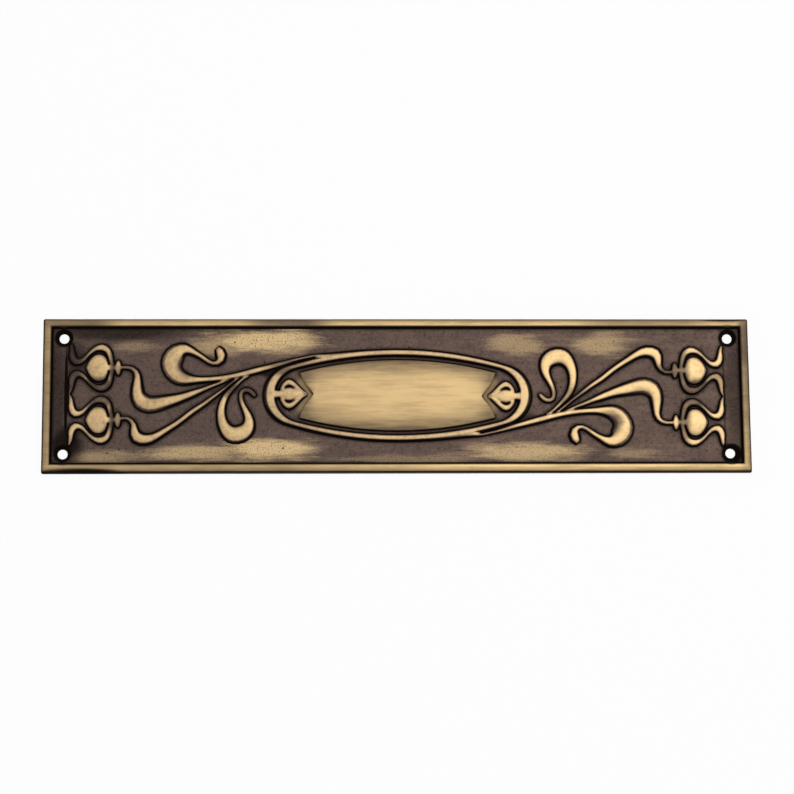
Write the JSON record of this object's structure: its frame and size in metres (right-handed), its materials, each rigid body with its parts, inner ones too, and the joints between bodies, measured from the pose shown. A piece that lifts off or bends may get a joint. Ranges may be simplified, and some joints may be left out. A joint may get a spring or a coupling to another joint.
{
  "type": "door finger plate",
  "caption": "Long flat cast brass door finger plate with a raised rim, scrolling relief ornament, a plain oval centre and countersunk corner holes.",
  "frame": {"origin": "centre of the flat back face", "axes": "+X along the plate's length, +Y across it, +Z out of the decorated face"},
  "size_m": [0.305, 0.0676, 0.0044],
  "materials": {
    "antique_brass": "antiqued cast brass: dark brown patina in the sunk field, raised parts rubbed back to pale gold"
  },
  "bodies": {
    "root": {"door_plate": "antique_brass"}
  },
  "joints": []
}
